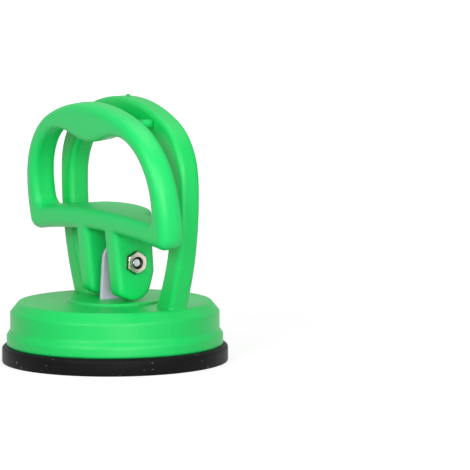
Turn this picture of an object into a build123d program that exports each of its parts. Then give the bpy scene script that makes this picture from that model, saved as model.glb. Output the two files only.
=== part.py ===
from build123d import *
import math
import os

os.makedirs("parts", exist_ok=True)

# Sizes are millimetres. The rubber disc stands on Z = 0 about the Z axis, the lever's pivot runs along X,
# the lever is in front, towards -Y, and the fixed arch handle stands behind it. The lever is shown closed.

# Rubber disc: a flat sealing land round a shallow cone, with a thick hub about the steel anchor
disc_radius = 28.5
disc_rim_thickness = 4.3
disc_edge_round = 0.9
disc_lower_bevel = 0.4
sealing_land_width = 6.5
dome_height = 3.0
crown_radius = 8.5
web_thickness = 3.2
hub_radius = 10.0
hub_cover = 4.0
hub_blend = 1.8
hub_edge_round = 0.8

# Steel anchor: a round plate in the hub, with a strap that stands in its slot on two shoulders
anchor_radius = 7.5
anchor_thickness = 1.2
anchor_skin = 1.2
toe_width = 5.6
toe_drop = 0.4
insert_clearance = 0.05
strap_thickness = 1.0
strap_foot_width = 8.2
strap_head_width = 8.2

# Moulded housing: a stepped cup with a raised boss where the lever's cams press
flange_lip = 0.9
flange_height = 2.6
flange_slope_height = 1.5
wall_radius = 26.4
wall_top = 12.7
housing_top = 15.25
top_radius = 24.3
boss_radius = 12.0
boss_height = 0.65
wall_thickness = 2.2
roof_thickness = 2.6
outer_edge_round = 0.5
step_round = 0.25
cavity_corner_round = 1.6
rib_count = 6
rib_thickness = 1.6
rib_depth = 3.2
rib_inner_radius = 12.5
slot_clearance = 0.3

# Arch handle: one moulding with the housing, broad at its feet and even round the top
arch_half_width = 29.8
arch_height = 51.5
arch_band = 5.8
arch_front = 1.6
arch_depth = 5.6
arch_edge_round = 1.3
gate_nib_radius = 0.6
gate_nib_height = 0.5
nib_taper = 6.0
arch_sink = 1.3
arch_outer_shares = [(0.0, 1.0), (0.69, 0.908), (1.0, 0.64), (0.775, 0.0)]
arch_inner_shares = [(0.0, 1.0), (0.69, 0.915), (1.0, 0.67), (0.66, 0.0)]

# Squeeze lever, measured from its pivot in its own upright frame, which leans forward when closed
pivot_back = 0.7
lever_lean = 6.0
loop_half_width = 33.6
loop_side_width = 5.6
loop_top = 40.3
loop_crown_width = 7.3
loop_front = 5.9
loop_depth = 6.8
loop_edge_round = 2.4
loop_corner_round = 3.0
bar_crown = 7.9
bar_height = 5.5
window_edge_round = 1.6
window_foot_inset = 0.2
window_floor_drop = 1.5
window_corner_round = 2.6
grip_bump_drop = 2.3
loop_outer_shares = [(0.0, 1.0), (0.577, 0.909), (0.982, 0.5), (0.973, 0.135)]
grip_bump_shares = [(0.0, 0.0), (0.25, 0.5), (0.5, 1.0)]
window_side_shares = [(0.727, 0.948), (1.0, 0.602)]

# Shelf behind the lower bar, which joins the loop to the two cam cheeks
shelf_thickness = 3.0
shelf_back = 6.1
shelf_back_round = 1.0
shelf_end_inset = 1.8
shelf_plan_shares = [(0.0, 1.0), (0.346, 0.868), (0.638, 0.0)]

# Cam cheeks: two plates under the shelf whose round ends press on the housing's boss
cheek_outer = 9.5
cheek_thickness = 5.0
cheek_front = 5.6
cheek_back = 5.8
cheek_edge_round = 0.9
cam_depth = 9.6
cam_clearance = 0.25
cam_shares = [(-1.0, 0.646), (-0.79, 0.848), (-0.496, 0.94), (-0.107, 0.998), (0.64, 0.72), (0.93, 0.3)]

# Stop lugs on the back of the loop, which meet the arch when the lever is closed
lug_spacing = 15.6
lug_width = 2.6
lug_thickness = 1.8
lug_height_share = 0.88
lug_clearance = 0.3
lug_root = 4.0

# M2.5 pivot screw with a pan head, and its hexagon nut
screw_radius = 1.25
screw_length = 18.0
screw_point_bevel = 0.3
head_radius = 2.5
head_height = 1.7
head_round = 0.9
recess_depth = 1.0
recess_length = 2.6
recess_width = 0.6
nut_flats = 5.0
nut_thickness = 2.0
nut_bevel_angle = 60.0
nut_turn = 21.0
nut_proud = 0.7
head_pocket_depth = 1.3
pocket_clearance = 0.25
pivot_clearance = 0.1
thread_clearance = 0.02

# Heights and planes worked out from the sizes above
land_inner = disc_radius - sealing_land_width
anchor_bottom = dome_height + anchor_skin + toe_drop
anchor_top = anchor_bottom + anchor_thickness
hub_top = anchor_top + hub_cover
flange_top = disc_rim_thickness + flange_height
flange_radius = wall_radius + flange_lip
cavity_radius = wall_radius - wall_thickness
roof_underside = housing_top - roof_thickness
boss_top = housing_top + boss_height
pivot_height = boss_top + cam_depth + cam_clearance
cheek_inner = cheek_outer - cheek_thickness
pivot_hole_radius = screw_radius + pivot_clearance
lean_cos = math.cos(math.radians(lever_lean))
lean_sin = math.sin(math.radians(lever_lean))
pivot_point = (0, pivot_back, pivot_height)
window_half_width = loop_half_width - loop_side_width
window_top = loop_top - loop_crown_width
window_floor = bar_crown + bar_height
floor_half_width = window_half_width - window_foot_inset
shelf_half_width = floor_half_width - shelf_end_inset
floor_end = (floor_half_width, window_floor - window_floor_drop)
lever_front_plane = Plane(origin=pivot_point, x_dir=(1, 0, 0), z_dir=(0, -lean_cos, -lean_sin))
lever_side_plane = Plane(origin=pivot_point, x_dir=(0, lean_cos, lean_sin), z_dir=(1, 0, 0))
lever_top_plane = Plane(origin=pivot_point, x_dir=(1, 0, 0), z_dir=(0, -lean_sin, lean_cos))


def scaled(shares, width, height, base=0.0):
    """Outline points from shares of a width and of a height above a base."""
    return [(x_share * width, base + z_share * height) for x_share, z_share in shares]


def tangent_arcs(points, heading=(1, 0)):
    """Draw an arc from each point to the next, the first along a heading and each tangent to the last."""
    for start, end in zip(points, points[1:]):
        heading = TangentArc(start, end, tangent=heading) % 1


def corner(sketch, point):
    """The corner of a sketch that lies nearest to a point."""
    return sketch.vertices().sort_by_distance(point)[0]


# Suction disc
with BuildPart() as suction_disc:
    cone_share = (land_inner - hub_radius) / (land_inner - crown_radius)
    web_top = dome_height * cone_share + web_thickness
    with BuildSketch(Plane.XZ) as disc_profile:
        with BuildLine():
            Polyline(
                (0, dome_height),
                (crown_radius, dome_height),
                (land_inner, 0),
                (disc_radius - disc_lower_bevel, 0),
                (disc_radius, disc_lower_bevel),
                (disc_radius, disc_rim_thickness),
                (land_inner, disc_rim_thickness),
                (hub_radius, web_top),
                (hub_radius, hub_top),
                (0, hub_top),
                (0, dome_height),
            )
        make_face()
        fillet(corner(disc_profile, (disc_radius, disc_rim_thickness)), disc_edge_round)
        chamfer(corner(disc_profile, (hub_radius, web_top)), hub_blend)
        chamfer(corner(disc_profile, (hub_radius, hub_top)), hub_edge_round)
    revolve(axis=Axis.Z)
    with BuildSketch(Plane.XY.offset(anchor_bottom - insert_clearance)):
        Circle(anchor_radius + insert_clearance)
    extrude(amount=anchor_thickness + 2 * insert_clearance, mode=Mode.SUBTRACT)
    with BuildSketch(Plane.XY.offset(anchor_bottom - toe_drop - insert_clearance)):
        Rectangle(strap_thickness + 2 * insert_clearance, toe_width + 2 * insert_clearance)
    extrude(amount=toe_drop + 2 * insert_clearance, mode=Mode.SUBTRACT)
    with BuildSketch(Plane.XY.offset(anchor_top)):
        Rectangle(strap_thickness + 2 * insert_clearance, strap_foot_width + 2 * insert_clearance)
    extrude(amount=hub_cover, mode=Mode.SUBTRACT)
suction_disc.part.label = "suction_disc"
export_step(suction_disc.part, "parts/suction_disc.step")

# Anchor plate
with BuildPart() as anchor_plate:
    with BuildSketch(Plane.XY.offset(anchor_bottom)):
        Circle(anchor_radius)
        Rectangle(
            strap_thickness + 2 * insert_clearance,
            toe_width + 2 * insert_clearance,
            mode=Mode.SUBTRACT,
        )
    extrude(amount=anchor_thickness)
anchor_plate.part.label = "anchor_plate"
export_step(anchor_plate.part, "parts/anchor_plate.step")

# Tie plate: the steel strap from the anchor up to the pivot
with BuildPart() as tie_plate:
    with BuildSketch(Plane.YZ) as strap_outline:
        with BuildLine():
            Polyline(
                (pivot_back - strap_head_width / 2, pivot_height),
                (-strap_foot_width / 2, boss_top),
                (-strap_foot_width / 2, anchor_top),
                (-toe_width / 2, anchor_top),
                (-toe_width / 2, anchor_bottom - toe_drop),
                (toe_width / 2, anchor_bottom - toe_drop),
                (toe_width / 2, anchor_top),
                (strap_foot_width / 2, anchor_top),
                (strap_foot_width / 2, boss_top),
                (pivot_back + strap_head_width / 2, pivot_height),
            )
            ThreePointArc(
                (pivot_back + strap_head_width / 2, pivot_height),
                (pivot_back, pivot_height + strap_head_width / 2),
                (pivot_back - strap_head_width / 2, pivot_height),
            )
        make_face()
        with Locations((pivot_back, pivot_height)):
            Circle(pivot_hole_radius, mode=Mode.SUBTRACT)
    extrude(amount=strap_thickness / 2, both=True)
tie_plate.part.label = "tie_plate"
export_step(tie_plate.part, "parts/tie_plate.step")

# Arch handle, which the housing block below takes in
with BuildPart() as arch_handle:
    arch_base = housing_top - arch_sink
    arch_rise = arch_height + arch_sink
    with BuildSketch(Plane.XZ.offset(-arch_front)) as arch_outline:
        with BuildLine():
            outer_points = scaled(arch_outer_shares, arch_half_width, arch_rise, arch_base)
            inner_width = arch_half_width - arch_band
            inner_points = scaled(arch_inner_shares, inner_width, arch_rise - arch_band, arch_base)
            tangent_arcs(outer_points)
            tangent_arcs(inner_points)
            Line(outer_points[0], inner_points[0])
            Line(outer_points[-1], inner_points[-1])
        make_face()
        mirror(about=Plane.YZ)
    extrude(amount=-arch_depth)
    long_edges = arch_handle.edges().filter_by(GeomType.CIRCLE)
    fillet(long_edges, arch_edge_round)
    with BuildSketch(Plane.XY.offset(housing_top + arch_height - gate_nib_height)) as nib_outline:
        with Locations((0, arch_front + arch_depth / 2)):
            Circle(gate_nib_radius)
    extrude(amount=2 * gate_nib_height, taper=nib_taper)

# Housing: the stepped cup, its ribs, the strap's slot and the arch
with BuildPart() as housing:
    with BuildSketch(Plane.XZ) as cup_profile:
        with BuildLine():
            Polyline(
                (0, boss_top),
                (boss_radius, boss_top),
                (boss_radius, housing_top),
                (top_radius, housing_top),
                (wall_radius, wall_top),
                (wall_radius, flange_top + flange_slope_height),
                (flange_radius, flange_top),
                (flange_radius, disc_rim_thickness),
                (cavity_radius, disc_rim_thickness),
                (cavity_radius, roof_underside),
                (0, roof_underside),
                close=True,
            )
        make_face()
        fillet(corner(cup_profile, (wall_radius, wall_top)), outer_edge_round)
        fillet(corner(cup_profile, (top_radius, housing_top)), outer_edge_round)
        fillet(corner(cup_profile, (flange_radius, flange_top)), outer_edge_round)
        chamfer(corner(cup_profile, (flange_radius, disc_rim_thickness)), step_round)
        chamfer(corner(cup_profile, (boss_radius, boss_top)), step_round)
        chamfer(corner(cup_profile, (cavity_radius, roof_underside)), cavity_corner_round)
    revolve(axis=Axis.Z)
    rib_length = cavity_radius - rib_inner_radius + wall_thickness / 2
    with BuildSketch(Plane.XY.offset(roof_underside - rib_depth)):
        with PolarLocations(rib_inner_radius + rib_length / 2, rib_count):
            Rectangle(rib_length, rib_thickness)
    extrude(amount=rib_depth)
    add(arch_handle.part)
    with BuildSketch(Plane.XY.offset(roof_underside)):
        Rectangle(strap_thickness + 2 * slot_clearance, strap_foot_width + 2 * slot_clearance)
    extrude(amount=roof_thickness + boss_height, mode=Mode.SUBTRACT)
housing.part.label = "housing"
export_step(housing.part, "parts/housing.step")

# Finger loop of the lever: a D-shaped ring with two finger hollows and a bump between them
with BuildPart() as finger_loop:
    with BuildSketch(lever_front_plane.offset(loop_front)) as loop_outline:
        with BuildLine():
            side_points = scaled(loop_outer_shares, loop_half_width, loop_top)
            tangent_arcs(side_points)
            tangent_arcs([(0, bar_crown), side_points[-1]])
            Line((0, bar_crown), (0, loop_top))
        make_face()
        mirror(about=Plane.YZ)
        fillet(loop_outline.vertices().group_by(Axis.Y)[0], loop_corner_round)
    extrude(amount=-loop_depth)
    broad_faces = finger_loop.faces().sort_by(SortBy.AREA)[-2:]
    fillet([edge for face in broad_faces for edge in face.edges()], loop_edge_round)
    with BuildSketch(lever_front_plane.offset(loop_front)) as window_outline:
        with BuildLine():
            bump_base = window_top - grip_bump_drop
            bump_points = scaled(grip_bump_shares, window_half_width, grip_bump_drop, bump_base)
            side_points = scaled(window_side_shares, window_half_width, window_top)
            tangent_arcs(bump_points + side_points + [floor_end])
            tangent_arcs([(0, window_floor), floor_end])
            Line((0, window_floor), (0, bump_base))
        make_face()
        mirror(about=Plane.YZ)
        fillet(window_outline.vertices().group_by(Axis.Y)[0], window_corner_round)
    extrude(amount=-loop_depth, mode=Mode.SUBTRACT)
    broad_faces = finger_loop.faces().filter_by(GeomType.PLANE).sort_by(SortBy.AREA)[-2:]
    fillet([edge for face in broad_faces for edge in face.inner_wires()[0].edges()], window_edge_round)

# Shelf behind the bar, arched like the window's floor and rounded off towards the back
with BuildPart() as palm_shelf:
    shelf_reach = loop_front - loop_edge_round
    with BuildSketch(lever_front_plane.offset(shelf_reach)):
        with BuildLine():
            shelf_drop = window_floor_drop * (shelf_half_width / floor_half_width) ** 2
            shelf_end = (shelf_half_width, window_floor - shelf_drop)
            lower_end = (shelf_half_width, window_floor - shelf_drop - shelf_thickness)
            tangent_arcs([(0, window_floor), shelf_end])
            Line(shelf_end, lower_end)
            tangent_arcs([(0, window_floor - shelf_thickness), lower_end])
            Line((0, window_floor - shelf_thickness), (0, window_floor))
        make_face()
        mirror(about=Plane.YZ)
    extrude(amount=-shelf_reach - shelf_back)
    with BuildSketch(lever_top_plane):
        with BuildLine():
            back_points = scaled(shelf_plan_shares, shelf_half_width, shelf_back)
            tangent_arcs(back_points)
            Polyline(
                back_points[-1],
                (shelf_half_width, 0),
                (shelf_half_width, -shelf_reach),
                (0, -shelf_reach),
                (0, shelf_back),
            )
        make_face()
        mirror(about=Plane.YZ)
    extrude(amount=loop_top, mode=Mode.INTERSECT)
    back_face = palm_shelf.faces().filter_by(GeomType.CYLINDER).sort_by(Axis.Y)[-1]
    fillet(back_face.edges().filter_by(GeomType.LINE, reverse=True), shelf_back_round)

# One cam cheek, which the lever block mirrors to the other side
with BuildPart() as cam_cheek:
    root_height = window_floor - window_floor_drop - shelf_thickness / 2
    with BuildSketch(lever_side_plane.offset(cheek_inner)):
        with BuildLine():
            cam_points = scaled(cam_shares, cheek_front, -cam_depth)
            tangent_arcs(cam_points, heading=(0, -1))
            Polyline(cam_points[-1], (cheek_back, root_height), (-cheek_front, root_height), cam_points[0])
        make_face()
    extrude(amount=cheek_thickness)
    outline_edges = cam_cheek.edges().filter_by(Axis.X, reverse=True)
    outline_edges = outline_edges.sort_by(Axis((0, 0, 0), (0, -lean_sin, lean_cos)))[:-2]
    fillet(outline_edges, cheek_edge_round)

# Lever: loop, shelf and cheeks in one moulding, with the pivot hole, the nut's pocket and the head's pocket
with BuildPart() as lever:
    add(finger_loop.part)
    add(palm_shelf.part)
    add(cam_cheek.part)
    mirror(cam_cheek.part, about=Plane.YZ)
    with BuildSketch(Plane.XZ.offset(lug_clearance - arch_front)):
        with Locations((0, pivot_height + lug_height_share * loop_top)):
            with GridLocations(2 * lug_spacing, 0, 2, 1):
                Rectangle(lug_width, lug_thickness)
    extrude(amount=arch_front + lug_root)
    with BuildSketch(lever_side_plane):
        Circle(pivot_hole_radius)
    extrude(amount=cheek_outer, both=True, mode=Mode.SUBTRACT)
    nut_floor = cheek_outer + nut_proud - nut_thickness
    with BuildSketch(lever_side_plane.offset(nut_floor)):
        RegularPolygon(nut_flats / 2 + pocket_clearance, 6, major_radius=False, rotation=nut_turn)
    extrude(amount=nut_thickness, mode=Mode.SUBTRACT)
    with BuildSketch(lever_side_plane.offset(head_pocket_depth - cheek_outer)):
        Circle(head_radius + pocket_clearance)
    extrude(amount=-nut_thickness, mode=Mode.SUBTRACT)
lever.part.label = "lever"
export_step(lever.part, "parts/lever.step")

# Pivot screw: pan head on the -X side, with a cross recess
with BuildPart() as pivot_screw:
    under_head = head_pocket_depth - cheek_outer
    with BuildSketch(lever_side_plane.offset(under_head)):
        Circle(screw_radius)
    extrude(amount=screw_length)
    chamfer(pivot_screw.edges().sort_by(Axis.X)[-1], screw_point_bevel)
    with BuildSketch(lever_side_plane.offset(under_head)):
        Circle(head_radius)
    extrude(amount=-head_height)
    fillet(pivot_screw.edges().sort_by(Axis.X)[0], head_round)
    with BuildSketch(lever_side_plane.offset(under_head - head_height)):
        Rectangle(recess_length, recess_width)
        Rectangle(recess_width, recess_length)
    extrude(amount=recess_depth, mode=Mode.SUBTRACT)
pivot_screw.part.label = "pivot_screw"
export_step(pivot_screw.part, "parts/pivot_screw.step")

# Pivot nut: a hexagon whose outer corners are turned down to a cone
with BuildPart() as pivot_nut:
    with BuildSketch(lever_side_plane.offset(nut_floor)):
        RegularPolygon(nut_flats / 2, 6, major_radius=False, rotation=nut_turn)
        Circle(screw_radius + thread_clearance, mode=Mode.SUBTRACT)
    extrude(amount=nut_thickness)
    with BuildSketch(lever_side_plane.offset(nut_floor + nut_thickness)):
        Circle(nut_flats / 2)
    extrude(amount=-nut_thickness, taper=-nut_bevel_angle, mode=Mode.INTERSECT)
pivot_nut.part.label = "pivot_nut"
export_step(pivot_nut.part, "parts/pivot_nut.step")
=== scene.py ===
import math

import bpy
from mathutils import Matrix, Vector


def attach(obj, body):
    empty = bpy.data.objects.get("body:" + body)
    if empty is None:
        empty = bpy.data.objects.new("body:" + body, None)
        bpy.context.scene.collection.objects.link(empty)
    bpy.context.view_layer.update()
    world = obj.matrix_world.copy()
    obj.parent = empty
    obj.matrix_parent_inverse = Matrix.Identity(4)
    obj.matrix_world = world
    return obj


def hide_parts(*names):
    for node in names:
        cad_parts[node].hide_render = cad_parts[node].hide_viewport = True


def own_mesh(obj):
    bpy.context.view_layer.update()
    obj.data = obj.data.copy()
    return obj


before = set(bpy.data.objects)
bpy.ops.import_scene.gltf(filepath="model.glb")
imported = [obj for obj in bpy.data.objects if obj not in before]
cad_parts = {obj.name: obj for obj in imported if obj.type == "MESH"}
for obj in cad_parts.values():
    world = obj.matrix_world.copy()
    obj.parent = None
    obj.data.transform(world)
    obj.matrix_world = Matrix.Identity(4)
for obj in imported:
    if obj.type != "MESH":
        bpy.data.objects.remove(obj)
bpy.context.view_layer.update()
print("frame loaded:", ", ".join(sorted(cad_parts)))

scene = bpy.context.scene
scene.view_settings.view_transform = "Standard"

# The photograph is square and frames two lifters; the one that is built stands left of the middle
photoCamera = {
    "place": (0.94562, -0.56209, 0.15820),
    "heading": 147.6893,  # degrees from +X towards +Y
    "pitch": -6.5608,
    "roll": 0.2838,
    "lens": 337.005,
    "sensor": 36.0,
    "near": 0.05,
    "far": 20.0,
}


def makeCamera(look):
    data = bpy.data.cameras.new("photoCamera")
    data.lens = look["lens"]
    data.sensor_width = look["sensor"]
    data.clip_start = look["near"]
    data.clip_end = look["far"]
    heading, pitch, roll = (math.radians(look[key]) for key in ("heading", "pitch", "roll"))
    ahead = Vector((
        math.cos(heading) * math.cos(pitch),
        math.sin(heading) * math.cos(pitch),
        math.sin(pitch),
    ))
    turned = ahead.to_track_quat("-Z", "Y").to_matrix() @ Matrix.Rotation(-roll, 3, "Z")
    camera = bpy.data.objects.new("photoCamera", data)
    scene.collection.objects.link(camera)
    camera.matrix_world = Matrix.Translation(look["place"]) @ turned.to_4x4()
    scene.camera = camera


makeCamera(photoCamera)
print("camera set")


# Sockets with ordinary arithmetic, so that masks read as expressions
class Wire:
    def __init__(self, tree, socket):
        self.tree = tree
        self.socket = socket

    def math(self, operation, *others):
        node = self.tree.nodes.new("ShaderNodeMath")
        node.operation = operation
        for slot, value in zip(node.inputs, (self, *others)):
            plug(self.tree, slot, value)
        return Wire(self.tree, node.outputs[0])

    def __add__(self, other):
        return self.math("ADD", other)

    def __radd__(self, other):
        return self.math("ADD", other)

    def __mul__(self, other):
        return self.math("MULTIPLY", other)

    def __rmul__(self, other):
        return self.math("MULTIPLY", other)

    def __sub__(self, other):
        return self.math("SUBTRACT", other)

    def __rsub__(self, other):
        return (self * -1.0).math("ADD", other)

    def __truediv__(self, other):
        return self.math("DIVIDE", other)

    def __pow__(self, other):
        return self.math("POWER", other)

    def __abs__(self):
        return self.math("ABSOLUTE")

    def clamp(self, low=0.0, high=1.0):
        return self.math("MAXIMUM", low).math("MINIMUM", high)


def plug(tree, slot, value):
    if isinstance(value, Wire):
        tree.links.new(value.socket, slot)
    else:
        slot.default_value = value


# A node tree whose add() makes any node, from its settings and then its sockets
class Tree:
    family = "ShaderNode"

    def __init__(self, tree):
        self.tree = tree

    def add(self, kind, settings=None, wires=(), **sockets):
        whole = kind.startswith(("ShaderNode", "NodeGroup"))
        node = self.tree.nodes.new(kind if whole else self.family + kind)
        for key, value in (settings or {}).items():
            setattr(node, key, value)
        slots = [slot for slot in node.inputs if slot.enabled]
        for slot, value in zip(slots, wires):
            plug(self.tree, slot, value)
        for name, value in sockets.items():
            slot = next(slot for slot in slots if slot.name.replace(" ", "") == name)
            plug(self.tree, slot, value)

        def pick(output=0):
            if isinstance(output, int):
                return Wire(self.tree, node.outputs[output])
            return Wire(self.tree, next(s for s in node.outputs if s.name == output and s.enabled))

        return pick


ringSharpness = 12000.0
seamSharpness = 4000.0
leastRoughness = 0.05
pivotAxis = (0.0007, 0.02575)  # Y and Z of the lever's pivot


# One material's tree, with the masks that the finishes share
class Paint(Tree):
    def __init__(self, name):
        self.material = bpy.data.materials.new(name)
        self.material.use_nodes = True
        super().__init__(self.material.node_tree)
        self.tree.nodes.clear()
        self.place = self.add("TexCoord")("Object")

    def noise(self, scale, detail, vector=None):
        source = self.place if vector is None else vector
        return self.add("TexNoise", Vector=source, Scale=scale, Detail=detail, Roughness=0.5)("Fac")

    def stretched(self, x, y, z):
        return self.add("Mapping", Vector=self.place, Scale=(x, y, z))()

    def mix(self, factor, a, b):
        return self.add("Mix", {"data_type": "RGBA"}, (factor, a, b))("Result")

    # The normal with its edges rounded, and a mask of those edges
    def edges(self, radius, gain):
        soft = self.add("Bevel", {"samples": 6}, Radius=radius)()
        sharp = self.add("NewGeometry")("Normal")
        match = self.add("VectorMath", {"operation": "DOT_PRODUCT"}, (soft, sharp))("Value")
        return soft, ((1.0 - match) * gain).clamp()

    # A ring about the pivot's axis, between two radii, for painting rings of shade and highlight
    def ring(self, inner, outer):
        spot = self.add("SeparateXYZ", None, (self.place,))
        across, above = spot("Y") - pivotAxis[0], spot("Z") - pivotAxis[1]
        radius = (across * across + above * above) ** 0.5
        return ((radius - inner) * ringSharpness).clamp() * ((outer - radius) * ringSharpness).clamp()

    # The mould's parting line, low on the cup where its two halves met
    def seam(self, halfWidth, top, inner):
        spot = self.add("SeparateXYZ", None, (self.place,))
        line = (1.0 - abs(spot("Y")) * (1.0 / halfWidth)).clamp()
        line = line * ((top - spot("Z")) * seamSharpness).clamp()
        return line * ((abs(spot("X")) - inner) * seamSharpness).clamp()

    # Roughness that wanders with two noises and falls on worn edges
    def roughness(self, look, cloud, grain, edge):
        rough = (cloud - 0.5) * look["cloudRough"] + (grain - 0.5) * look["grainRough"] + look["roughness"]
        return (rough - edge * look["edgeRough"]).clamp(leastRoughness, 1.0)

    def bump(self, height, look, normal):
        strength, depth = look["bump"]
        return self.add("Bump", Height=height, Strength=strength, Distance=depth, Normal=normal)()

    def finish(self, shader):
        self.add("OutputMaterial", Surface=shader)
        return self.material


greenPlastic = {
    "base": (0.0015, 0.610, 0.118, 1.0),
    # painted highlight: the pale mint that rounded edges are lightened toward, in place of soft reflections
    "worn": (0.030, 0.760, 0.220, 1.0),
    "deep": (0.0010, 0.560, 0.098, 1.0),
    # painted shade: the dark green that creases and recesses are darkened toward
    "hollow": (0.0006, 0.330, 0.046, 1.0),
    "hollowDepth": 0.011,
    "hollowStart": 0.62,
    "hollowGain": 1.8,
    "cloudScale": 55.0,
    "grainScale": 2600.0,
    "streakScale": 1100.0,
    "streakStretch": 0.03,
    "edgeRadius": 0.0011,
    "edgeGain": 2.2,
    "edgeWear": 0.55,
    "seam": {"halfWidth": 0.000125, "top": 0.0147, "inner": 0.024},
    "seamWear": 0.35,
    "roughness": 0.40,
    "cloudRough": 0.10,
    "grainRough": 0.06,
    "edgeRough": 0.06,
    "shine": 0.42,
    "bump": (0.12, 0.0002),  # strength, then depth in metres
    "heights": {"grain": 0.3, "cloud": 0.5, "streaks": 0.6, "seam": 1.5},
}
# The lever's fuller rounds, in the housing's green painted a little lighter: painted light, for the brighter
# light on the lever's front
leverPlastic = greenPlastic | {
    "base": (0.0060, 0.690, 0.150, 1.0),
    "worn": (0.045, 0.820, 0.260, 1.0),
    "deep": (0.0040, 0.640, 0.128, 1.0),
    "edgeRadius": 0.0022,
}


def makeGreenPlastic(name, look):
    paint = Paint(name)
    cloud = paint.noise(look["cloudScale"], 3.0)
    grain = paint.noise(look["grainScale"], 2.0)
    streaks = paint.noise(look["streakScale"], 1.0, paint.stretched(1.0, 1.0, look["streakStretch"]))
    soft, edge = paint.edges(look["edgeRadius"], look["edgeGain"])
    seam = paint.seam(**look["seam"])
    # Painted shade: occlusion within the part darkens creases and recesses, such as between the lever's
    # cheeks
    openness = paint.add(
        "AmbientOcclusion",
        {"samples": 8, "only_local": True},
        Distance=look["hollowDepth"],
    )("AO")
    hollow = ((look["hollowStart"] - openness) * look["hollowGain"]).clamp()
    colour = paint.mix((cloud * 0.9 - 0.2).clamp(), look["deep"], look["base"])
    # Painted highlight: rounded edges lightened toward the pale mint of soft reflections
    colour = paint.mix(edge * look["edgeWear"], colour, look["worn"])
    colour = paint.mix(hollow, colour, look["hollow"])
    # The parting line is drawn lighter, toward the same pale colour
    colour = paint.mix(seam * look["seamWear"], colour, look["worn"])
    share = look["heights"]
    height = grain * share["grain"] + cloud * share["cloud"]
    height = height + streaks * share["streaks"] + seam * share["seam"]
    shader = paint.add(
        "BsdfPrincipled",
        BaseColor=colour,
        Roughness=paint.roughness(look, cloud, grain, edge),
        Normal=paint.bump(height, look, soft),
        IOR=1.5,
        SpecularIORLevel=look["shine"],
    )
    return paint.finish(shader())


blackRubber = {
    "base": (0.0040, 0.0040, 0.0044, 1.0),
    # lighter black: random dust tone, and a painted sheen on rounded edges
    "dusty": (0.0080, 0.0080, 0.0086, 1.0),
    "speck": (0.30, 0.30, 0.30, 1.0),
    "speckMix": 0.5,
    "cloudScale": 70.0,
    "grainScale": 3200.0,
    "speckScale": 900.0,
    "speckGain": 14.0,
    "speckStart": 9.9,
    "edgeRadius": 0.0006,
    "edgeGain": 1.6,
    "roughness": 0.46,
    "cloudRough": 0.16,
    "grainRough": 0.08,
    "edgeRough": 0.0,
    "shine": 0.08,
    "bump": (0.16, 0.0002),
}


def makeBlackRubber(look):
    paint = Paint("blackRubber")
    cloud = paint.noise(look["cloudScale"], 4.0)
    grain = paint.noise(look["grainScale"], 2.0)
    specks = (paint.noise(look["speckScale"], 1.0) * look["speckGain"] - look["speckStart"]).clamp()
    soft, edge = paint.edges(look["edgeRadius"], look["edgeGain"])
    # Cloudy dust tone, and on rounded edges a painted sheen toward the same lighter black
    colour = paint.mix((cloud * 0.7 + edge * 0.5).clamp(), look["base"], look["dusty"])
    colour = paint.mix(specks * look["speckMix"], colour, look["speck"])
    shader = paint.add(
        "BsdfPrincipled",
        BaseColor=colour,
        Roughness=paint.roughness(look, cloud, grain, edge),
        Normal=paint.bump(grain * 0.5 + cloud * 0.5, look, soft),
        IOR=1.5,
        SpecularIORLevel=look["shine"],
    )
    return paint.finish(shader())


bareMetal = {
    "scratchScale": 420.0,
    "scratchStretch": 9.0,
    "edgeRadius": 0.0003,
    "edgeGain": 2.5,
    "edgeWear": 0.7,
    "cloudRough": 0.20,
    "grainRough": 0.14,
    "edgeRough": 0.10,
    "bump": (0.10, 0.00015),
    # painted rings of shade and highlight on the screw end and nut
    "rings": (),  # inner radius, outer radius and colour, about the pivot
}
galvanisedSteel = bareMetal | {
    # painted light: base and dull carry a pink tint that cancels the green light the plastic bounces onto the
    # plates
    "base": (0.74, 0.62, 0.84, 1.0),
    "dull": (0.57, 0.48, 0.64, 1.0),
    "worn": (0.80, 0.81, 0.83, 1.0),
    "cloudScale": 320.0,
    "metallic": 0.10,
    "roughness": 0.50,
}
brightZinc = bareMetal | {
    "base": (0.78, 0.82, 0.86, 1.0),
    "dull": (0.55, 0.60, 0.66, 1.0),
    "worn": (0.95, 0.96, 0.98, 1.0),
    "cloudScale": 900.0,
    "metallic": 1.0,
    "roughness": 0.24,
    # painted shade: a dark ring at the screw end's rim, where the gap to the nut lies in shade
    "rings": ((0.00110, 0.00126, (0.050, 0.050, 0.055, 1.0)),),
}
nickelSteel = bareMetal | {
    "base": (0.92, 0.78, 0.70, 1.0),
    "dull": (0.58, 0.50, 0.44, 1.0),
    "worn": (0.92, 0.88, 0.80, 1.0),
    "cloudScale": 700.0,
    "metallic": 1.0,
    "roughness": 0.27,
    "rings": (
        # painted shade: a dark ring round the bore; then a painted highlight: a thin pale ring further out
        (0.00120, 0.00162, (0.020, 0.018, 0.016, 1.0)),
        (0.00226, 0.00242, (0.980, 0.960, 0.900, 1.0)),
    ),
}


def makeMetal(name, look):
    paint = Paint(name)
    cloud = paint.noise(look["cloudScale"], 4.0)
    scratches = paint.noise(look["scratchScale"], 2.0, paint.stretched(1.0, 1.0, look["scratchStretch"]))
    soft, edge = paint.edges(look["edgeRadius"], look["edgeGain"])
    colour = paint.mix((cloud * 1.4 - 0.2).clamp(), look["dull"], look["base"])
    colour = paint.mix(edge * look["edgeWear"], colour, look["worn"])
    # Painted rings of shade and highlight about the pivot
    for inner, outer, shade in look["rings"]:
        colour = paint.mix(paint.ring(inner, outer), colour, shade)
    shader = paint.add(
        "BsdfPrincipled",
        BaseColor=colour,
        Metallic=look["metallic"],
        Roughness=paint.roughness(look, cloud, scratches, edge),
        Normal=paint.bump(scratches, look, soft),
    )
    return paint.finish(shader())


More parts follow.
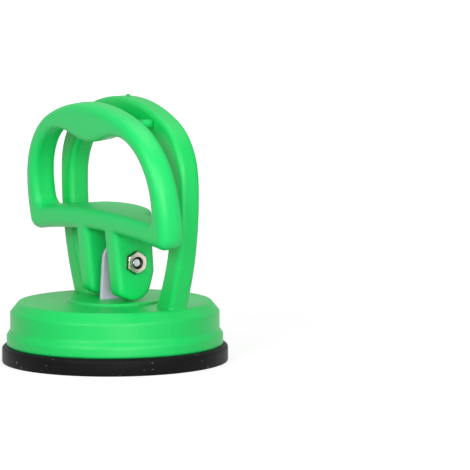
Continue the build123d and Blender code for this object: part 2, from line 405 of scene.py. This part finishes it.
finishes = {
    "greenPlastic": makeGreenPlastic("greenPlastic", greenPlastic),
    "leverPlastic": makeGreenPlastic("leverPlastic", leverPlastic),
    "blackRubber": makeBlackRubber(blackRubber),
    "galvanisedSteel": makeMetal("galvanisedSteel", galvanisedSteel),
    "brightZinc": makeMetal("brightZinc", brightZinc),
    "nickelSteel": makeMetal("nickelSteel", nickelSteel),
}
print("finishes made")

nodeFinishes = {
    "housing": "greenPlastic",
    "lever": "leverPlastic",
    "suction_disc": "blackRubber",
    "anchor_plate": "galvanisedSteel",
    "tie_plate": "galvanisedSteel",
    "pivot_screw": "brightZinc",
    "pivot_nut": "nickelSteel",
}
for node, finish in nodeFinishes.items():
    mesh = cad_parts[node].data
    mesh.materials.clear()
    mesh.materials.append(finishes[finish])
print("nodes dressed")


# A geometry tree with named inputs, which come from the piece's dictionary
class Shape(Tree):
    family = "GeometryNode"
    kinds = {int: "NodeSocketInt", float: "NodeSocketFloat", bpy.types.Material: "NodeSocketMaterial"}

    def __init__(self, name, inputs):
        super().__init__(bpy.data.node_groups.new(name, "GeometryNodeTree"))
        panel = self.tree.interface
        panel.new_socket("Geometry", in_out="INPUT", socket_type="NodeSocketGeometry")
        for label, value in inputs.items():
            panel.new_socket(label, in_out="INPUT", socket_type=self.kinds[type(value)])
        panel.new_socket("Geometry", in_out="OUTPUT", socket_type="NodeSocketGeometry")
        self.inputs = inputs
        self.entry = self.add("NodeGroupInput")

    # The tree's result as a plain mesh, with the modifier gone
    def bake(self, seed, geometry):
        self.add("NodeGroupOutput", None, (geometry,))
        modifier = seed.modifiers.new(self.tree.name, "NODES")
        modifier.node_group = self.tree
        for item in self.tree.interface.items_tree:
            if item.in_out == "INPUT" and item.name in self.inputs:
                modifier[item.identifier] = self.inputs[item.name]
        shown = seed.evaluated_get(bpy.context.evaluated_depsgraph_get())
        mesh = bpy.data.meshes.new_from_object(shown)
        seed.modifiers.remove(modifier)
        seed.data = mesh


# A profile of radius and height, turned about Z; the rail is a thin circle, so its radius comes off the reach
def turn(name, profile, look):
    outline = bpy.data.meshes.new(name)
    points = [(radius, 0.0, height) for radius, height in profile]
    outline.from_pydata(points, [(n, n + 1) for n in range(len(points) - 1)], [])
    piece = bpy.data.objects.new(name, outline)
    scene.collection.objects.link(piece)
    shape = Shape(name, {"Segments": look["segments"], "Spindle": look["spindle"], "Finish": look["finish"]})
    place = shape.add("ShaderNodeSeparateXYZ", None, (shape.add("InputPosition")(),))
    reach = place("X") - shape.entry("Spindle")
    across = shape.add("ShaderNodeCombineXYZ", X=reach, Y=place("Z") * -1.0)()
    rail = shape.add(
        "CurvePrimitiveCircle",
        Resolution=shape.entry("Segments"),
        Radius=shape.entry("Spindle"),
    )()
    strand = shape.add("MeshToCurve", Mesh=shape.entry("Geometry"))()
    strand = shape.add("SetPosition", Geometry=strand, Position=across)()
    skin = shape.add("CurveToMesh", Curve=rail, ProfileCurve=strand)()
    skin = shape.add("FlipFaces", Mesh=skin)()
    skin = shape.add("SetShadeSmooth", Geometry=skin)()
    shape.bake(piece, shape.add("SetMaterial", Geometry=skin, Material=shape.entry("Finish"))())
    piece.data.set_sharp_from_angle(angle=math.radians(look["sharp"]))
    return piece


# The rim stays on the floor; the centre is fixed to the root body as well
rubberRim = {
    "inner": 0.0220,
    "outer": 0.0285,
    "height": 0.0043,
    "topRound": 0.0009,
    "topCurve": [(0.02846, 0.00367), (0.02833, 0.0039), (0.02813, 0.0041), (0.0279, 0.00423)],
    "footRound": 0.0004,
    "segments": 160,
    "spindle": 0.001,
    "finish": finishes["blackRubber"],
    "sharp": 35.0,
}
rubberCentre = {
    "bore": 0.0006,
    "coneHeight": 0.0030,
    "coneFlat": 0.0085,
    "hubFoot": (0.0118, 0.00577),
    "hubFootTop": 0.0076,
    "hubRadius": 0.0100,
    "hubTop": 0.0098,
    "hubBevel": 0.0008,
    "hubOpening": 0.0042,
    "segments": 128,
    "spindle": 0.0003,
    "finish": finishes["blackRubber"],
    "sharp": 35.0,
    "travelKept": 0.8367,
}


def rimProfile(look):
    inner, outer, height = look["inner"], look["outer"], look["height"]
    foot, top = look["footRound"], look["topRound"]
    low = [(inner, height), (inner, 0.0), (outer - foot, 0.0), (outer - foot / 4, foot / 4), (outer, foot)]
    return [*low, (outer, height - top), *look["topCurve"], (outer - top, height), (inner, height)]


def centreProfile(look, rim):
    radius, top, bevel = look["hubRadius"], look["hubTop"], look["hubBevel"]
    under = [(look["bore"], look["coneHeight"]), (look["coneFlat"], look["coneHeight"]), (rim["inner"], 0.0)]
    over = [(rim["inner"], rim["height"]), look["hubFoot"], (radius, look["hubFootTop"])]
    hub = [(radius, top - bevel), (radius - bevel, top), (look["hubOpening"], top)]
    return [*under, *over, *hub]


def makeRubber(rimLook, centreLook):
    rim = turn("rubberRim", rimProfile(rimLook), rimLook)
    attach(rim, "root")
    centre = turn("rubberCentre", centreProfile(centreLook, rimLook), centreLook)
    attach(centre, "root")
    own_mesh(centre)
    for piece in (rim, centre):
        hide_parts("suction_disc")


makeRubber(rubberRim, rubberCentre)
print("rubber made")

# A white sweep: camera rays see its own white, other rays its lit surface, so the shadow stays
floorLook = {
    "size": 9.0,
    "colour": (0.44, 0.44, 0.44, 1.0),
    "patchy": (0.41, 0.41, 0.41, 1.0),
    "patchScale": 3.0,
    "patchMix": 0.05,
    "white": (1.0, 1.0, 1.0, 1.0),
    "glow": 0.68,
    "farGlow": 1.00,
    "nearEdge": 0.10,
    "fade": 0.45,
}


def makeFloor(look):
    paint = Paint("paleFloor")
    rays = paint.add("LightPath")
    seen = (rays("Is Camera Ray") + rays("Is Glossy Ray") + rays("Is Transmission Ray")).clamp()
    cloud = paint.noise(look["patchScale"], 2.0)
    colour = paint.mix(cloud * look["patchMix"], look["colour"], look["patchy"])
    board = paint.add("BsdfDiffuse", Color=colour)()
    reach = paint.add("VectorMath", {"operation": "LENGTH"}, (paint.place,))("Value")
    far = ((reach - look["nearEdge"]) / look["fade"]).clamp()
    strength = seen * (far * (look["farGlow"] - look["glow"]) + look["glow"])
    glow = paint.add("Emission", Color=look["white"], Strength=strength)()
    both = paint.add("AddShader", None, (board, glow))
    bpy.ops.mesh.primitive_plane_add(size=look["size"], location=(0.0, 0.0, 0.0))
    floor = bpy.context.object
    floor.name = "paleFloor"
    floor.data.materials.append(paint.finish(both()))


makeFloor(floorLook)

# Soft boxes: x, y, z of the lamp in metres, then its size and its power in watts
lampTarget = (0.0, 0.0, 0.035)
lamps = {
    "keyFront": {"place": (0.45, -0.95, 0.52), "size": 0.60, "power": 6.6},
    "fillRight": {"place": (1.05, 0.05, 0.50), "size": 0.60, "power": 4.2},
    "lowFront": {"place": (1.00, -0.42, 0.16), "size": 0.45, "power": 5.6},
    "topSoft": {"place": (0.0, 0.15, 1.10), "size": 0.90, "power": 4.8},
}


def makeLamp(name, lamp):
    data = bpy.data.lights.new(name, "AREA")
    data.size = lamp["size"]
    data.energy = lamp["power"]
    light = bpy.data.objects.new(name, data)
    light.location = lamp["place"]
    aim = Vector(lampTarget) - Vector(lamp["place"])
    light.rotation_euler = aim.to_track_quat("-Z", "Y").to_euler()
    scene.collection.objects.link(light)


for name, lamp in lamps.items():
    makeLamp(name, lamp)

# The room gives a little light, and looks whiter than that to the camera and in reflections
roomLook = {
    "white": (1.0, 1.0, 1.0, 1.0),
    "light": 0.16,
    "seen": 0.84,
    "mirrored": 0.58,
}


def makeRoom(look):
    world = bpy.data.worlds.new("whiteRoom")
    world.use_nodes = True
    scene.world = world
    room = Tree(world.node_tree)
    room.tree.nodes.clear()
    rays = room.add("LightPath")
    strength = rays("Is Camera Ray") * look["seen"] + rays("Is Glossy Ray") * look["mirrored"] + look["light"]
    glow = room.add("Background", Color=look["white"], Strength=strength)()
    room.add("OutputWorld", Surface=glow)


makeRoom(roomLook)
print("floor, lamps and room set")
